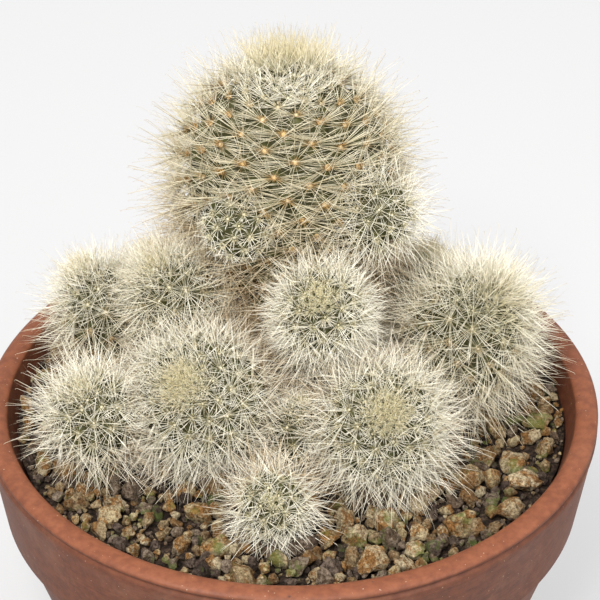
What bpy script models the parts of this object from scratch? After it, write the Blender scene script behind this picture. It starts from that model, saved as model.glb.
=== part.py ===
# Potted mammillaria: a clump of spiny cactus heads in a terracotta pan of gritty soil.
# Metres, +Z up. The origin is the middle of the pan's underside.

import math
from collections import namedtuple

import bmesh
import bpy
import numpy as np
from mathutils import Matrix, Vector
from mathutils.bvhtree import BVHTree
from mathutils.geometry import delaunay_2d_cdt

MM = 0.001

# Pan
RIM_RADIUS = 75 * MM
LIP_INNER_RADIUS = 68.5 * MM
POT_HEIGHT = 76 * MM
COLLAR_HEIGHT = 26.4 * MM
COLLAR_FOOT_RADIUS = 71.5 * MM
COLLAR_STEP = 2 * MM
COLLAR_SLOPE = 0.8 * MM
BASE_RADIUS = 54.5 * MM
FLOOR_THICKNESS = 8 * MM
FLOOR_RADIUS = 49.5 * MM
DRAIN_RADIUS = 7 * MM
EDGE_ROUNDING = 1.5 * MM
FOOT_ROUNDING = 1 * MM
LIP_CROWN = 2.4 * MM
POT_SEGMENTS = 48
SHARP_EDGE = math.radians(40)

# Gritty soil
SOIL_LEVEL = 69 * MM
SOIL_RELIEF = 0.8 * MM
STONE_SPACING = 7 * MM
STONE_RADIUS = (2.2 * MM, 5.5 * MM)  # smallest and largest
STONE_SIDES = 5
STONE_TILT = 0.3  # steepest slope of a top, along X and along Y
STONE_UNEVEN = 0.2  # how far a corner strays, as a share of a side
STONE_TOP = (0.6, 0.8)  # width of a top, as a share of the foot
STONE_RISE = (1.6 * MM, 3.2 * MM)
STONE_MIDDLE = 1.2 * MM
STONE_GAP = 0.2 * MM
STONE_TRIES = 4000

# Room between pieces that touch on the real plant
GAP = 0.35 * MM
INSIDE_LEAN = 0.7

# Stems and tubercles
ROOT_DEPTH = 12 * MM
ROOT_TAPER = 0.62  # width of the root's end, as a share of the stem's at the soil
KNEE_REACH = 1.6  # longest leaning stretch, as a share of the globe's radius
COLLAR_LIFT = 1.2 * MM
WAIST_CURVE = 1.7
APEX_ROW = 1.999
ROW_COUNT = 400
TUBERCLE_RISE = 0.9 * MM
TUBERCLE_HOLLOW = 1.1 * MM
LOWEST_AREOLE = 0.3  # height of the first areole over the soil, as a share of their spacing
LOWEST_ROW = 0.99
GOLDEN_ANGLE = math.pi * (3 - math.sqrt(5))

# Spines
NEEDLE_RADIUS = 0.3 * MM
NEEDLE_SPREAD = 0.8 * MM  # from the areole to a spine's foot
NEEDLE_CLEARANCE = 0.95 * MM  # from a spine of one head to a spine of another
NEEDLE_FACE = 2 * MM * MM  # smallest face that carries a spine
NEEDLE_INSET = 0.05 * MM  # from a spine's foot to the edge of its face
NEEDLE_SHORTEST = 0.9
NEEDLE_TRIALS = (0.25, 0.45, 0.65, 0.85, 1.0)  # places along a spine that are tried for room
NEEDLE_ROOT_SHARE = 0.4  # the stretch that is close to its own head in any case
NEEDLE_LIFT = 0.003
CENTRAL_SPLAY = math.radians(18)
RADIAL_SPLAY = math.radians(55)
SPLAY_STEPS = (1.0, 0.8, 0.6, 0.4, 1.2)  # shares of its splay that a crowded spine tries in turn
SEED = 11

# One head. centre: the middle of its globe, x, y and height over the soil. radius: the globe's.
# dome: height of the top over the middle. lean and way: how far it leans, and to which side, in
# degrees. spine: spine length. waist: share of the width lost on the way down to the soil.
# spacing: from one areole to the next. needles: spines on each areole. Lengths in millimetres.
Head = namedtuple("Head", "centre radius dome lean way spine waist spacing needles")

HEADS = {
    "head_main": Head((-1.2, 33, 51.5), 25.5, 26, 2, 90, 9.2, 0.47, 10.2, 2.9),
    "head_back_left": Head((-45.5, 19.5, 18), 9.8, 12, 28, 170, 9.0, 0.4, 7.4, 2.7),
    "head_mid_left": Head((-27.5, 13, 27), 9.8, 12, 28, 215, 8.8, 0.4, 7.6, 2.7),
    "head_front_left": Head((-46.8, -16, 13), 9.3, 11, 25, 240, 8.5, 0.4, 6.4, 2.8),
    "head_big_left": Head((-20.8, -12, 14.5), 15, 15.5, 42, 245, 9.2, 0.4, 7.8, 2.7),
    "head_centre": Head((7.5, -5, 36), 8.8, 10, 40, 262, 7.8, 0.3, 7.4, 2.7),
    "head_right": Head((41.8, 8, 18.5), 13.2, 20, 28, 318, 9.2, 0.35, 7.4, 2.7),
    "head_big_front": Head((21.3, -21.5, 14.3), 13, 14, 42, 275, 9.2, 0.4, 7.2, 2.8),
    "head_small_front": Head((-4.2, -43, 8), 7, 8, 50, 270, 6.8, 0.35, 4.7, 2.9),
    "head_inner": Head((1.2, -17.2, 9), 6.2, 8, 8, 300, 7.0, 0.35, 5.0, 2.8),
    "head_back_right": Head((32, 36, 11.5), 8.5, 10, 25, 50, 8.0, 0.35, 6.0, 2.8),
    "head_behind_left": Head((-33, 43, 9), 8.6, 10, 25, 130, 8.0, 0.35, 6.4, 2.8),
    "head_behind": Head((4, 58, 6.5), 6.4, 7.5, 25, 85, 6.0, 0.35, 4.8, 2.8),
}

# Side shoots of the main head, which are one piece with it
SHOOTS = {
    "shoot_left": Head((-12.5, 11, 50.5), 7.5, 8, 60, 262, 7.5, 0, 6.4, 3.0),
    "shoot_right": Head((20.8, 14.5, 51), 7.5, 8, 60, 285, 7.5, 0, 6.4, 3.0),
}
SHOOT_DEPTH = 5 * MM
SHOOT_COLLAR = 0.5
SHOOT_ROOM = 1 * MM


def material(name, colour, roughness):
    mat = bpy.data.materials.new(name)
    mat.use_nodes = True
    shader = mat.node_tree.nodes["Principled BSDF"]
    shader.inputs["Base Color"].default_value = (*colour, 1)
    shader.inputs["Roughness"].default_value = roughness
    shader.inputs["Metallic"].default_value = 0
    return mat


def make_object(name, bm, mat):
    """An object of its own from a finished mesh, with its material."""
    mesh = bpy.data.meshes.new(name)
    bm.to_mesh(mesh)
    bm.free()
    obj = bpy.data.objects.new(name, mesh)
    bpy.context.scene.collection.objects.link(obj)
    mesh.materials.append(mat)
    return obj


def fuse(target, tool):
    """Union another object into this one, and remove it."""
    mod = target.modifiers.new("fuse", "BOOLEAN")
    mod.operation = "UNION"
    mod.object = tool
    bpy.context.view_layer.objects.active = target
    bpy.ops.object.modifier_apply(modifier=mod.name)
    bpy.data.objects.remove(tool, do_unlink=True)


def height_over(tree, point):
    """Distance from a surface, negative inside it. At a sharp edge outside, the nearest face can
    lean away from the point a little, so only a clear lean counts as inside."""
    spot, normal, _, distance = tree.find_nearest(point)
    inside = (point - spot).dot(normal) < -INSIDE_LEAN * distance
    return -distance if inside else distance


def surface_tree(obj):
    faces = [polygon.vertices for polygon in obj.data.polygons]
    return BVHTree.FromPolygons([vert.co for vert in obj.data.vertices], faces)


# Pan and soil

def turned(profile, segments):
    """Spin a closed outline of (radius, height) points round the Z axis."""
    bm = bmesh.new()
    verts = [bm.verts.new((r, 0, z)) for r, z in profile]
    edges = [bm.edges.new((verts[i], verts[i - 1])) for i in range(len(verts))]
    bmesh.ops.spin(bm, geom=verts + edges, cent=(0, 0, 0), axis=(0, 0, 1),
                   angle=math.tau, steps=segments)
    bmesh.ops.remove_doubles(bm, verts=bm.verts, dist=1e-6)
    bmesh.ops.recalc_face_normals(bm, faces=bm.faces)
    return bm


def arc(centre, radius, start, end, count):
    """Points of a round edge, from one angle in degrees to another."""
    angles = [math.radians(start + (end - start) * i / (count - 1)) for i in range(count)]
    return [(centre[0] + radius * math.cos(a), centre[1] + radius * math.sin(a)) for a in angles]


def inner_radius(z):
    """Inside radius of the pan at a height: the wall runs parallel to the outside."""
    share = (z - FLOOR_THICKNESS) / (POT_HEIGHT - FLOOR_THICKNESS)
    return FLOOR_RADIUS + (LIP_INNER_RADIUS - FLOOR_RADIUS) * share


def build_pot():
    collar_foot = POT_HEIGHT - COLLAR_HEIGHT
    lip_radius = (RIM_RADIUS - LIP_INNER_RADIUS) / 2
    lip_middle = RIM_RADIUS - lip_radius
    lip_height = POT_HEIGHT - LIP_CROWN
    outline = [(DRAIN_RADIUS, 0)]
    outline += arc((BASE_RADIUS - EDGE_ROUNDING, EDGE_ROUNDING), EDGE_ROUNDING, -90, 0, 2)
    outline.append((COLLAR_FOOT_RADIUS - COLLAR_STEP, collar_foot - COLLAR_SLOPE))
    outline += arc((COLLAR_FOOT_RADIUS - FOOT_ROUNDING, collar_foot + FOOT_ROUNDING),
                   FOOT_ROUNDING, -90, 0, 2)
    lip = arc((0, 0), 1, 0, 180, 6)
    outline += [(lip_middle + x * lip_radius, lip_height + y * LIP_CROWN) for x, y in lip]
    outline.append((inner_radius(FLOOR_THICKNESS), FLOOR_THICKNESS))
    outline.append((DRAIN_RADIUS, FLOOR_THICKNESS))
    clay = material("terracotta", (0.42, 0.16, 0.085), 0.85)
    pot = make_object("pot", turned(outline, POT_SEGMENTS), clay)
    pot.data.shade_smooth()
    pot.data.set_sharp_from_angle(angle=SHARP_EDGE)
    return pot


def ring(bm, radius, z):
    made = bmesh.ops.create_circle(bm, segments=POT_SEGMENTS, radius=radius,
                                   matrix=Matrix.Translation((0, 0, z)))
    return made["verts"]


def bridge(bm, low, high):
    """Quads between two rings with equal counts."""
    for i in range(len(low)):
        j = (i + 1) % len(low)
        bm.faces.new((low[i], low[j], high[j], high[i]))


def hole_outline(stem, sides):
    """A plain hole for a stem: its rim where it meets the soil, and its floor."""
    widen = GAP / math.cos(math.pi / sides)
    rim, floor = [], []
    for i in range(sides):
        angle = math.tau * i / sides
        low, high = stem.point(0, angle, widen), stem.point(stem.soil, angle, widen)
        rim.append(low.lerp(high, (SOIL_LEVEL - low.z) / (high.z - low.z)))
        floor.append(low + (low - high).normalized() * GAP)
    return rim, floor


def stone_outline(rng, spot, room, others):
    """An angular stone that reaches half way to its neighbours: an uneven outline at the soil, and
    a smaller, tilted top."""
    start, rise = rng.uniform(0, math.tau), rng.uniform(*STONE_RISE)
    tilt = Vector((*rng.uniform(-STONE_TILT, STONE_TILT, 2), 0))
    low, high = [], []
    for i in range(STONE_SIDES):
        angle = start + math.tau * (i + rng.uniform(-STONE_UNEVEN, STONE_UNEVEN)) / STONE_SIDES
        out = Vector((math.cos(angle), math.sin(angle), 0))
        ahead = [other for other in others if other.dot(out) > 0]
        halfway = [other.length_squared / 2 / other.dot(out) for other in ahead]
        side = out * (min([room] + halfway) - STONE_GAP)
        low.append(spot + side + Vector((0, 0, rng.uniform(-SOIL_RELIEF, 0))))
        top = side * rng.uniform(*STONE_TOP)
        high.append(spot + top + Vector((0, 0, rise + top.dot(tilt))))
    return low, high


def scatter_stones(rng, trees):
    """Grit over the whole soil, clear of every stem and head and of the pan."""
    smallest, largest = STONE_RADIUS
    reach = inner_radius(SOIL_LEVEL) - 3 * GAP
    spots, rooms = [], []
    for _ in range(STONE_TRIES):
        r, angle = reach * math.sqrt(rng.uniform(0, 1)), rng.uniform(0, math.tau)
        spot = Vector((r * math.cos(angle), r * math.sin(angle), SOIL_LEVEL))
        if reach - r < smallest or any((spot - other).length < STONE_SPACING for other in spots):
            continue
        middle = spot + Vector((0, 0, STONE_MIDDLE))
        clear = min(height_over(tree, middle) for tree in trees) - 2 * GAP
        if clear > smallest:
            spots.append(spot)
            rooms.append(min(clear, reach - r, largest))
    return [stone_outline(rng, spot, room, [other - spot for other in spots if other != spot])
            for spot, room in zip(spots, rooms)]


def build_soil(rng, stems, trees):
    """The filled inside of the pan: grit on top, and a plain hole round every stem."""
    bottom = FLOOR_THICKNESS + GAP
    bm = bmesh.new()
    low = ring(bm, inner_radius(bottom) - 2 * GAP, bottom)
    high = ring(bm, inner_radius(SOIL_LEVEL) - 1.5 * GAP, SOIL_LEVEL)
    bridge(bm, low, high)
    bm.faces.new(low[::-1])

    holes = [hole_outline(stem, stem_sides(name)) for name, stem in stems.items()]
    verts, outlines = list(high), [list(range(POT_SEGMENTS))]
    for rim, end in holes + scatter_stones(rng, trees):
        outlines.append(list(range(len(verts), len(verts) + len(rim))))
        rim_verts = [bm.verts.new(p) for p in rim]
        end_verts = [bm.verts.new(p) for p in end]
        bridge(bm, rim_verts, end_verts)
        bm.faces.new(end_verts)
        verts += rim_verts
    fill_between(bm, verts, outlines)
    bmesh.ops.triangulate(bm, faces=bm.faces)
    bmesh.ops.recalc_face_normals(bm, faces=bm.faces)
    return make_object("soil", bm, material("gritty_soil", (0.19, 0.14, 0.09), 0.95))


def fill_between(bm, verts, outlines):
    """Triangles inside the first outline and outside all the others."""
    flat = [v.co.xy for v in verts]
    _, _, faces, source_verts, _, source_faces = delaunay_2d_cdt(flat, [], outlines, 1, 1e-7)
    for face, source in zip(faces, source_faces):
        if source == [0]:
            bm.faces.new([verts[source_verts[corner][0]] for corner in face])


# Heads

class Stem:
    """A head's axis and width: upright in the soil, then bending over to the way it leans."""

    def __init__(self, head, rooted=True):
        self.radius, self.dome, self.waist = head.radius * MM, head.dome * MM, head.waist
        self.centre = Vector(head.centre) * MM + Vector((0, 0, SOIL_LEVEL))
        lean, way = math.radians(head.lean), math.radians(head.way)
        self.side = Vector((-math.sin(way), math.cos(way), 0))
        self.axis = Vector((math.sin(lean) * math.cos(way), math.sin(lean) * math.sin(way),
                            math.cos(lean)))
        if rooted:
            even = (self.centre.z - SOIL_LEVEL + ROOT_DEPTH) / (1 + self.axis.z)
            self.knee = self.centre - self.axis * min(even, KNEE_REACH * self.radius)
            self.foot = Vector((self.knee.x, self.knee.y, SOIL_LEVEL - ROOT_DEPTH))
            self.soil = self.find_collar()
        else:
            self.foot = self.centre - self.axis * SHOOT_DEPTH
            self.knee = (self.foot + self.centre) / 2
            self.soil = SHOOT_COLLAR

    def find_collar(self):
        """Where the ring round the stem clears the soil on its low side."""
        width = self.radius * (1 - self.waist)
        low, high = 0.0, 1.0
        for _ in range(30):
            mid = (low + high) / 2
            point, tangent = self.axis_at(mid)
            lowest = point.z - width * math.sqrt(1 - tangent.z ** 2)
            if lowest < SOIL_LEVEL + COLLAR_LIFT:
                low = mid
            else:
                high = mid
        return mid

    def axis_at(self, t):
        """Point and direction on the bent axis, from 0 at the root to 1 at the globe's middle."""
        point = self.foot * (1 - t) ** 2 + self.knee * 2 * t * (1 - t) + self.centre * t * t
        tangent = (self.knee - self.foot) * (1 - t) + (self.centre - self.knee) * t
        return point, tangent.normalized()

    def point(self, t, angle, extra=0.0):
        """A place on the skin. t runs from 0 at the root to 1 at the middle and 2 at the apex."""
        if t > 1:
            tilt = (t - 1) * math.pi / 2
            middle = self.centre + self.axis * self.dome * math.sin(tilt)
            radius, tangent = self.radius * math.cos(tilt), self.axis
        else:
            middle, tangent = self.axis_at(t)
            radius = self.width(t)
        front = tangent.cross(self.side)
        out = self.side * math.cos(angle) + front * math.sin(angle)
        return middle + out * (radius + extra)

    def width(self, t):
        """Radius under the globe's middle: full there, less at the soil, tapering to the root."""
        if t >= self.soil:
            down = (1 - t) / (1 - self.soil)
            return self.radius * (1 - self.waist * down ** WAIST_CURVE)
        collar = self.radius * (1 - self.waist)
        return collar * (ROOT_TAPER + (1 - ROOT_TAPER) * t / self.soil)

    def normal(self, t, angle):
        step = 1e-3
        up = self.point(min(t + step, 2), angle) - self.point(max(t - step, 0), angle)
        round_way = self.point(t, angle + step) - self.point(t, angle - step)
        return round_way.cross(up).normalized()


def skin_rows(stem, low):
    """Rows on the skin from the apex down to a place low on it, with the area above each, and how
    far down each is where the skin is opened out into a map that keeps every angle true."""
    rows = np.linspace(APEX_ROW, low, ROW_COUNT)
    points = [stem.point(t, 0) for t in rows]
    across = [stem.point(t, math.pi) for t in rows]
    radii = np.array([(p - q).length / 2 for p, q in zip(points, across)])
    steps = np.array([0] + [(a - b).length for a, b in zip(points, points[1:])])
    area = np.cumsum(steps * radii * math.tau)
    depth = np.cumsum(steps / np.maximum(radii, 0.01 * MM))
    return rows, area, depth


def areole_places(stem, spacing, low):
    """Areoles in the order that a cactus grows them: each a golden angle on from the last."""
    rows, area, _ = skin_rows(stem, low)
    cell = (spacing * MM) ** 2 * math.sqrt(3) / 2
    count = int(area[-1] / cell)
    targets = (np.arange(count) + 0.5) * area[-1] / count
    places = np.interp(targets, area, rows)
    return [(float(t), i * GOLDEN_ANGLE) for i, t in enumerate(places)]


def head_core(stem, spacing, sides):
    """The green body: a tubercle that rises to each areole, and hollows between them. Its faces
    are found on a ball, where a hull joins neighbours, and its points are then put in place."""
    rows, _, depth = skin_rows(stem, 0)
    margin = LOWEST_AREOLE * spacing * MM / (stem.centre - stem.axis_at(stem.soil)[0]).length
    places = areole_places(stem, spacing, min(stem.soil + margin, LOWEST_ROW))
    rings = [(t, math.tau * i / sides) for t in (stem.soil, 0) for i in range(sides)]
    equator = np.interp(places[len(places) // 2][0], rows[::-1], depth[::-1])

    bm = bmesh.new()
    verts = []
    for t, angle in places + rings:
        down = np.interp(t, rows[::-1], depth[::-1]) - equator
        polar = 2 * math.atan(math.exp(down))
        flat = math.sin(polar)
        verts.append(bm.verts.new((flat * math.cos(angle), flat * math.sin(angle),
                                   math.cos(polar))))
    bmesh.ops.convex_hull(bm, input=bm.verts)
    for vert, (t, angle) in zip(verts, places + rings):
        vert.co = stem.point(t, angle)
    tips = verts[:len(places)]
    hollows = open_hollows(bm, set(tips))
    bmesh.ops.recalc_face_normals(bm, faces=bm.faces)
    bm.normal_update()
    for vert in hollows:
        vert.co -= vert.normal * TUBERCLE_HOLLOW
    areoles = [(vert, stem.normal(t, angle)) for vert, (t, angle) in zip(tips, places)]
    for vert, out in areoles:
        vert.co += out * TUBERCLE_RISE
    return bm, areoles


def open_hollows(bm, tips):
    """A point between each three tubercles, and six faces round each tubercle's tip."""
    between = [f for f in bm.faces if tips.issuperset(f.verts)]
    poked = bmesh.ops.poke(bm, faces=between)
    new_faces = set(poked["faces"])
    ridges = [e for e in bm.edges if tips.issuperset(e.verts) and new_faces.issuperset(e.link_faces)]
    bmesh.ops.rotate_edges(bm, edges=ridges)
    return poked["verts"]


# Spines

class Thicket:
    """Every spine so far, so that a new one can be tried against them."""

    def __init__(self):
        self.roots, self.tips, self.heads = np.zeros((0, 3)), np.zeros((0, 3)), []

    def add(self, root, tip, head):
        self.roots = np.vstack([self.roots, root])
        self.tips = np.vstack([self.tips, tip])
        self.heads.append(head)

    def gaps(self, root, tip):
        """Distance from one segment to each of the others."""
        p, u = np.array(root), np.array(tip - root)
        w, v = p - self.roots, self.tips - self.roots
        a, c = u @ u, (v * v).sum(1)
        b, d, e = v @ u, w @ u, (w * v).sum(1)
        span = np.maximum(a * c - b * b, 1e-18)
        s = np.clip((b * e - c * d) / span, 0, 1)
        t = np.clip((b * s + e) / c, 0, 1)
        s = np.clip((b * t - d) / a, 0, 1)
        return np.linalg.norm(w + s[:, None] * u - t[:, None] * v, axis=1)

    def clear(self, root, tip, head):
        if not self.heads:
            return True
        same = np.array(self.heads) == head
        needed = np.where(same, 2 * NEEDLE_RADIUS, NEEDLE_CLEARANCE)
        return bool((self.gaps(root, tip) >= needed).all())


def spine_base(face, root):
    """The three corners of a spine's foot on a face, the first towards the nearest corner of it."""
    nearest = min(face.verts, key=lambda vert: (vert.co - root).length)
    inward = (nearest.co - root).normalized() * NEEDLE_RADIUS
    return nearest, [root + Matrix.Rotation(i * math.tau / 3, 3, face.normal) @ inward
                     for i in range(3)]


def leaves_cleanly(face, root, tip, own):
    """True if a spine's foot lies within its face and none of its edges meets its own head."""
    for corner in spine_base(face, root)[1]:
        for loop in face.loops:
            edge = loop.link_loop_next.vert.co - loop.vert.co
            inset = edge.normalized().cross(corner - loop.vert.co).dot(face.normal)
            if inset < NEEDLE_INSET:
                return False
        start = corner.lerp(tip, NEEDLE_LIFT)
        if own.ray_cast(start, tip - start, (tip - start).length)[0]:
            return False
    return True


def fits(root, tip, own, others):
    """True if a spine stays outside its own head and clear of everything else."""
    if tip.xy.length > RIM_RADIUS - GAP:
        return False
    for share in NEEDLE_TRIALS:
        spot = root.lerp(tip, share)
        room = GAP + NEEDLE_RADIUS * (1 - share)
        if share > NEEDLE_ROOT_SHARE and height_over(own, spot) < room:
            return False
        if any(height_over(tree, spot) < room for tree in others):
            return False
    return True


def raise_spine(bm, face, root, tip):
    """Draw a face out into a three-sided spine that tapers to a point."""
    nearest, places = spine_base(face, root)
    corners = list(face.verts)
    first = corners.index(nearest)
    corners = corners[first:] + corners[:first]
    base = [bm.verts.new(place) for place in places]
    point = bm.verts.new(tip)
    bm.faces.remove(face)
    for i in range(3):
        j = (i + 1) % 3
        bm.faces.new((corners[i], corners[j], base[j], base[i]))
        bm.faces.new((base[i], base[j], point))


def grow_spines(name, bm, areoles, head, own, others, thicket, rng):
    """Give each areole a central spine and a star of outer ones, each bent clear or left out."""
    free = {f for f in bm.faces if f.calc_area() > NEEDLE_FACE}
    for i, (vert, out) in enumerate(areoles):
        start = rng.uniform(0, math.tau)
        side = out.orthogonal().normalized()
        wanted = int(head.needles + i * GOLDEN_ANGLE % 1)
        for k in range(wanted):
            splay = CENTRAL_SPLAY if k == 0 else RADIAL_SPLAY
            turn = Matrix.Rotation(start + math.tau * k / wanted, 3, out) @ side
            size = head.spine * MM * rng.uniform(NEEDLE_SHORTEST, 1)
            for face, root, tip in spine_ways(vert, out, turn, free, splay, size):
                if (leaves_cleanly(face, root, tip, own) and fits(root, tip, own, others)
                        and thicket.clear(root, tip, name)):
                    free.discard(face)
                    thicket.add(root, tip, name)
                    raise_spine(bm, face, root, tip)
                    break


def spine_ways(vert, out, turn, free, splay, size):
    """Faces round an areole for a spine to stand on, the one nearest its turn first, with its
    root and tip there. Later ones bend it up and off its neighbours."""
    ways = []
    for face in vert.link_faces:
        if face in free:
            toward = (face.calc_center_median() - vert.co).normalized()
            around = (toward - out * toward.dot(out)).normalized()
            ways.append((-around.dot(turn), toward, around, face))
    ways.sort(key=lambda way: way[0])
    for bend in SPLAY_STEPS:
        for _, toward, around, face in ways:
            aim = out * math.cos(splay * bend) + around * math.sin(splay * bend)
            yield face, vert.co + toward * NEEDLE_SPREAD, vert.co + aim * size


def stem_sides(name):
    return 12 if name == "head_main" else 8


def main():
    for obj in list(bpy.data.objects):
        bpy.data.objects.remove(obj, do_unlink=True)
    rng = np.random.default_rng(SEED)
    pot = build_pot()
    heads = {**HEADS, **SHOOTS}
    stems = {name: Stem(head, name in HEADS) for name, head in heads.items()}
    cores = {name: head_core(stems[name], heads[name].spacing, stem_sides(name)) for name in heads}
    trees = {name: BVHTree.FromBMesh(bm) for name, (bm, _) in cores.items()}
    soil = build_soil(rng, {name: stems[name] for name in HEADS}, trees.values())
    fixed = [surface_tree(pot), surface_tree(soil)]

    thicket = Thicket()
    made = {}
    for name, (bm, areoles) in cores.items():
        rest = {other: tree for other, tree in trees.items() if other != name}
        joined = [tree for other, tree in rest.items() if other in SHOOTS or name in SHOOTS]
        seen = [(vert, out) for vert, out in areoles
                if all(height_over(tree, vert.co) > SHOOT_ROOM for tree in joined)]
        others = fixed + list(rest.values())
        grow_spines(name, bm, seen, heads[name], trees[name], others, thicket, rng)
        bmesh.ops.triangulate(bm, faces=bm.faces)
        made[name] = make_object(name, bm, material(name, (0.5, 0.5, 0.32), 0.6))
    for name in SHOOTS:
        fuse(made["head_main"], made[name])


main()
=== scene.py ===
# A clump of spiny mammillaria heads in a terracotta pan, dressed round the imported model.
import math

import bpy
import numpy as np
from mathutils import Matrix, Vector, noise
from mathutils.bvhtree import BVHTree
from mathutils.kdtree import KDTree


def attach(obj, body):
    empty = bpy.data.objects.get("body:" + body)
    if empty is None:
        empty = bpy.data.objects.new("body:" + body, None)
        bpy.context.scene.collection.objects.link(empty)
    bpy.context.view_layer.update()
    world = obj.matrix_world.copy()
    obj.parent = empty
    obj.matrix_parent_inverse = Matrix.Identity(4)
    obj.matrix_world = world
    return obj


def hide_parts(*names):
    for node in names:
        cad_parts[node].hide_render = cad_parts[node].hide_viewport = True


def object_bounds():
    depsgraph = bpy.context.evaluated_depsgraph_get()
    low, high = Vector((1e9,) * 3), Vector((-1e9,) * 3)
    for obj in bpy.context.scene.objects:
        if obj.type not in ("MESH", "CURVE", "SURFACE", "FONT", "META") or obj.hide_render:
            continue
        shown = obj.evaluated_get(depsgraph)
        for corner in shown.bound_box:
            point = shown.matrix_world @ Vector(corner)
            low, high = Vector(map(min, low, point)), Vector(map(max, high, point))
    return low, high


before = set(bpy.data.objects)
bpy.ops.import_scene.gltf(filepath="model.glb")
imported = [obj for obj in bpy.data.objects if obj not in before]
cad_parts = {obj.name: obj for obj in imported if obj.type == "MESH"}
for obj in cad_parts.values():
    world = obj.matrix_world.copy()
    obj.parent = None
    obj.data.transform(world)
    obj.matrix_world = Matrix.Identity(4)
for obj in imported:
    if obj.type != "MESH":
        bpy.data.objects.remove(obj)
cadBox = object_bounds()
bpy.ops.object.select_all(action="DESELECT")
print("frame loaded,", len(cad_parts), "nodes")

mm = 0.001
fullTurn = 2 * math.pi
goldenAngle = math.pi * (3 - math.sqrt(5))
scene = bpy.context.scene

# Camera, floor and light

view = {
    "target": (2.1 * mm, 0, 104.9 * mm),
    "elevation": 35,  # degrees above the floor
    "distance": 0.675, "lens": 169.2, "sensor": 36,
}

studio = {
    "floorSize": 8, "floorColour": (0.28, 0.28, 0.283, 1),
    "floorRoughness": 0.7, "floorGloss": 0.2, "floorGlow": 0.445,
    "sky": (1.0, 1.0, 1.0, 1), "skyStrength": 0.85,
    # place, size, watts and colour of each soft light
    "lights": {
        "keyLight": ((-0.22, -0.65, 0.98), 0.4, 15.5, (1.0, 0.985, 0.96)),
        "fillLight": ((0.7, -0.6, 0.6), 0.9, 4.5, (0.97, 0.985, 1.0)),
        "topLight": ((0.1, 0.3, 1.1), 0.9, 1.5, (1.0, 1.0, 1.0)),
    },
}


def setUpStudio():
    rise = math.radians(view["elevation"])
    away = Vector((0, -math.cos(rise), math.sin(rise))) * view["distance"]
    cameraData = bpy.data.cameras.new("camera")
    cameraData.lens, cameraData.sensor_width = view["lens"], view["sensor"]
    camera = bpy.data.objects.new("camera", cameraData)
    camera.location = Vector(view["target"]) + away
    camera.rotation_euler = (math.pi / 2 - rise, 0, 0)
    scene.collection.objects.link(camera)
    scene.camera = camera

    bpy.ops.mesh.primitive_plane_add(size=studio["floorSize"])
    floor = bpy.context.object
    floor.name = "floor"
    paint, tree, shader = newMaterial("floorPaint", studio["floorRoughness"], studio["floorGloss"])
    shader.inputs["Base Color"].default_value = studio["floorColour"]
    shader.inputs["Emission Color"].default_value = (1, 1, 1, 1)
    shader.inputs["Emission Strength"].default_value = studio["floorGlow"]
    floor.data.materials.append(paint)
    floor.select_set(False)

    for name, (place, size, watts, colour) in studio["lights"].items():
        lamp = bpy.data.lights.new(name, "AREA")
        lamp.shape, lamp.size, lamp.energy, lamp.color = "DISK", size, watts, colour
        light = bpy.data.objects.new(name, lamp)
        light.location = place
        aim = Vector(view["target"]) - Vector(place)
        light.rotation_euler = aim.to_track_quat("-Z", "Y").to_euler()
        scene.collection.objects.link(light)

    world = scene.world or bpy.data.worlds.new("studioWorld")
    scene.world = world
    world.use_nodes = True
    sky = world.node_tree.nodes["Background"]
    sky.inputs["Color"].default_value = studio["sky"]
    sky.inputs["Strength"].default_value = studio["skyStrength"]
    scene.view_settings.view_transform = "Standard"
    print("studio ready")


# Nodes that the materials share

def newMaterial(name, roughness, gloss=0.5):
    made = bpy.data.materials.new(name)
    made.use_nodes = True
    shader = made.node_tree.nodes["Principled BSDF"]
    shader.inputs["Roughness"].default_value = roughness
    shader.inputs["Specular IOR Level"].default_value = gloss
    return made, made.node_tree, shader


def addNode(tree, kind, inputs=None, **values):
    # an input is another node's output, a number or a colour
    node = tree.nodes.new(kind)
    for name, value in values.items():
        setattr(node, name, value)
    for name, value in (inputs or {}).items():
        if isinstance(value, bpy.types.NodeSocket):
            tree.links.new(value, node.inputs[name])
        else:
            node.inputs[name].default_value = (*value, 1) if isinstance(value, tuple) else value
    return node


def objectPlace(tree):
    return addNode(tree, "ShaderNodeTexCoord").outputs["Object"]


def attributeOf(tree, name):
    return addNode(tree, "ShaderNodeAttribute", attribute_name=name).outputs["Fac"]


def noiseOf(tree, place, scale, detail, roughness=0.5):
    inputs = {"Vector": place, "Scale": scale, "Detail": detail, "Roughness": roughness}
    return addNode(tree, "ShaderNodeTexNoise", inputs).outputs["Fac"]


def cellsOf(tree, place, scale):
    inputs = {"Vector": place, "Scale": scale}
    return addNode(tree, "ShaderNodeTexVoronoi", inputs).outputs["Distance"]


def rampOf(tree, value, stops):
    # each stop is a position, with its red, green and blue
    node = addNode(tree, "ShaderNodeValToRGB", {"Fac": value})
    ramp = node.color_ramp
    while len(ramp.elements) < len(stops):
        ramp.elements.new(0.5)
    for element, (position, *colour) in zip(ramp.elements, stops):
        element.position, element.color = position, (*colour, 1)
    return node.outputs["Color"]


def levelOf(tree, value, low, high):
    # 0 below low, 1 above high, smooth between
    inputs = {"Value": value, "From Min": low, "From Max": high}
    node = addNode(tree, "ShaderNodeMapRange", inputs, interpolation_type="SMOOTHSTEP")
    return node.outputs["Result"]


def mixOf(tree, share, first, second, blend="MIX"):
    # of the node's many sockets, 6 and 7 and output 2 are for colours
    inputs = {0: share, 6: first, 7: second}
    return addNode(tree, "ShaderNodeMix", inputs, data_type="RGBA", blend_type=blend).outputs[2]


def mathOf(tree, operation, first, second):
    inputs = {0: first, 1: second}
    return addNode(tree, "ShaderNodeMath", inputs, operation=operation).outputs["Value"]


def paintWith(tree, shader, colour):
    tree.links.new(colour, shader.inputs["Base Color"])


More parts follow.
